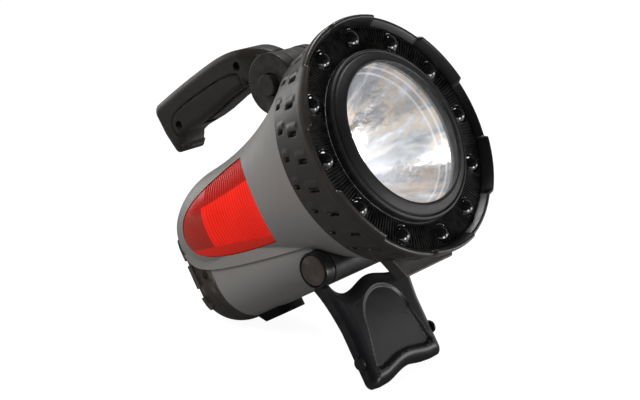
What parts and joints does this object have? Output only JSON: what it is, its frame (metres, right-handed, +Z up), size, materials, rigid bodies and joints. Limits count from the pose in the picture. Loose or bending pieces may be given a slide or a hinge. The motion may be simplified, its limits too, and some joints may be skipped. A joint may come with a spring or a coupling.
{
  "type": "rechargeable spotlight",
  "caption": "Hand-held rechargeable spotlight with a round front rim, red side lights, a swinging trigger handle and a folding stand.",
  "frame": {"origin": "centre of the footprint on the floor it stands on", "axes": "+Z up, front faces -Y, the lamp's right side is -X; it leans back on its stand and tail"},
  "size_m": [0.17, 0.2776, 0.247],
  "materials": {
    "bezel_rubber": "matte",
    "ring_black": "satin",
    "stud_gloss": "gloss",
    "retainer_black": "satin",
    "lens_clear": "clear",
    "gasket_rubber": "matte",
    "reflector_silver": "mirror",
    "bulb_glass": "clear",
    "pin_steel": "plain",
    "bulb_ceramic": "matte",
    "shell_grey": "fine grain",
    "cover_dark": "fine grain",
    "screw_steel": "blackened",
    "pad_rubber": "matte",
    "side_lens_red": "ribbed",
    "tray_white": "satin",
    "board_green": "satin",
    "battery_case": "matte",
    "tab_brass": "plain",
    "pad_foam": "foam",
    "lead_red": "satin",
    "lead_black": "satin",
    "button_red": "satin",
    "switch_black": "satin",
    "led_green": "clear",
    "hinge_dark": "satin",
    "handle_dark": "fine grain",
    "grip_rubber": "matte",
    "stand_black": "satin",
    "caps_brown": "satin"
  },
  "bodies": {
    "lamp": {"bezel": "bezel_rubber", "front_ring": "ring_black", "studs": "stud_gloss", "lens_retainer": "retainer_black", "lens": "lens_clear", "lens_gasket": "gasket_rubber", "bulb_cap": "gasket_rubber", "reflector": "reflector_silver", "bulb": "bulb_glass", "bulb_filament": "pin_steel", "plug_pin": "pin_steel", "lock_spring": "pin_steel", "bulb_base": "bulb_ceramic", "upper_shell": "shell_grey", "lower_shell": "shell_grey", "rear_cover": "cover_dark", "cover_screws": "screw_steel", "foot_pad": "pad_rubber", "side_lens_right": "side_lens_red", "side_lens_left": "side_lens_red", "light_tray_right": "tray_white", "light_tray_left": "tray_white", "light_board_right": "board_green", "light_board_left": "board_green", "circuit_board": "board_green", "battery": "battery_case", "battery_tabs": "tab_brass", "battery_pad": "pad_foam", "lead_right": "lead_red", "lead_left": "lead_black", "rear_switch": "switch_black", "charge_socket": "switch_black", "charge_light": "led_green", "saddle": "hinge_dark", "handle_axle": "hinge_dark", "stand_barrel": "hinge_dark"},
    "handle": {"handle_right": "handle_dark", "handle_left": "handle_dark", "grip_right": "grip_rubber", "grip_left": "grip_rubber", "handle_screws": "screw_steel", "trigger_pin_rod": "pin_steel", "trigger_spring": "pin_steel", "trigger_switch": "switch_black"},
    "trigger": {"trigger": "handle_dark"},
    "lock": {"lock_button": "hinge_dark"},
    "stand": {"stand": "stand_black", "stand_axle": "pin_steel", "stand_caps": "caps_brown", "stand_bumps": "pad_rubber"},
    "rear_button": {"rear_button": "button_red"},
    "plug": {"socket_plug": "pad_rubber"}
  },
  "joints": [
    {"name": "handle_swing", "type": "hinge", "parent": "lamp", "child": "handle", "pos_m": [0, 0.00702, 0.19601], "axis": [1, 0, 0], "range_deg": [0, 75]},
    {"name": "trigger_pull", "type": "hinge", "parent": "handle", "child": "trigger", "pos_m": [0, 0.09263, 0.15744], "axis": [-1, 0, 0], "range_deg": [0, 4], "stiffness_Nm_per_rad": 1.5, "springref_deg": -5.73},
    {"name": "lock_press", "type": "slide", "parent": "lamp", "child": "lock", "axis": [1, 0, 0], "range_m": [0, 0.003], "stiffness_N_per_m": 1000, "springref_m": -0.003},
    {"name": "stand_fold", "type": "hinge", "parent": "lamp", "child": "stand", "pos_m": [0, -0.0527, 0.08057], "axis": [1, 0, 0], "range_deg": [0, 64]},
    {"name": "rear_press", "type": "slide", "parent": "lamp", "child": "rear_button", "axis": [0, -0.8461, 0.533], "range_m": [0, 0.002], "stiffness_N_per_m": 800, "springref_m": -0.002},
    {"name": "plug_open", "type": "hinge", "parent": "lamp", "child": "plug", "pos_m": [0, 0.08992, 0.01992], "axis": [-1, 0, 0], "range_deg": [0, 100]}
  ]
}
